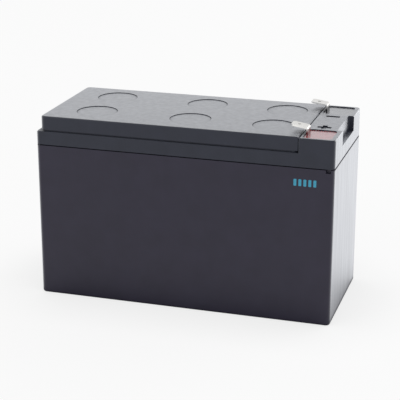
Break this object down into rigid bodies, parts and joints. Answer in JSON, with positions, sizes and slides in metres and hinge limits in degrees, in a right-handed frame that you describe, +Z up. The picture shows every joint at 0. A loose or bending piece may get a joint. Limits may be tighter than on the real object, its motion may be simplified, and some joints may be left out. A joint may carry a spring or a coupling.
{
  "type": "ups battery cartridge",
  "caption": "Sealed rectangular lead-acid battery block with a flat vented lid and blade terminals bent back over it, the replaceable battery of a small UPS.",
  "frame": {"origin": "middle of the foot, on the surface that the block stands on", "axes": "+Z up; +X along the length, towards the end with both terminals; -Y is the long side next to the positive terminal"},
  "size_m": [0.151, 0.065, 0.0983],
  "materials": {
    "case_plastic": "moulded ABS, fine satin",
    "lid_plastic": "moulded ABS, fine satin",
    "cover_plastic": "moulded ABS, fine satin",
    "valve_rubber": "moulded rubber",
    "lead": "cast lead",
    "lead_oxide": "pasted plates",
    "glass_mat": "absorbent glass mat",
    "tinned_brass": "tin plated",
    "red_resin": "potting resin",
    "black_resin": "potting resin"
  },
  "bodies": {
    "root": {"case": "case_plastic", "lid": "lid_plastic", "vent_cover": "cover_plastic", "vent_valve_1": "valve_rubber", "vent_valve_2": "valve_rubber", "vent_valve_3": "valve_rubber", "vent_valve_4": "valve_rubber", "vent_valve_5": "valve_rubber", "vent_valve_6": "valve_rubber", "positive_plates_1": "lead_oxide", "positive_plates_2": "lead_oxide", "positive_plates_3": "lead_oxide", "positive_plates_4": "lead_oxide", "positive_plates_5": "lead_oxide", "positive_plates_6": "lead_oxide", "negative_plates_1": "lead", "negative_plates_2": "lead", "negative_plates_3": "lead", "negative_plates_4": "lead", "negative_plates_5": "lead", "negative_plates_6": "lead", "separator_1": "glass_mat", "separator_2": "glass_mat", "separator_3": "glass_mat", "separator_4": "glass_mat", "separator_5": "glass_mat", "separator_6": "glass_mat", "cell_link_1": "lead", "cell_link_2": "lead", "cell_link_3": "lead", "cell_link_4": "lead", "cell_link_5": "lead", "terminal_positive": "tinned_brass", "terminal_negative": "tinned_brass", "terminal_resin_positive": "red_resin", "terminal_resin_negative": "black_resin", "post_grommet_positive": "valve_rubber", "post_grommet_negative": "valve_rubber"}
  },
  "joints": []
}
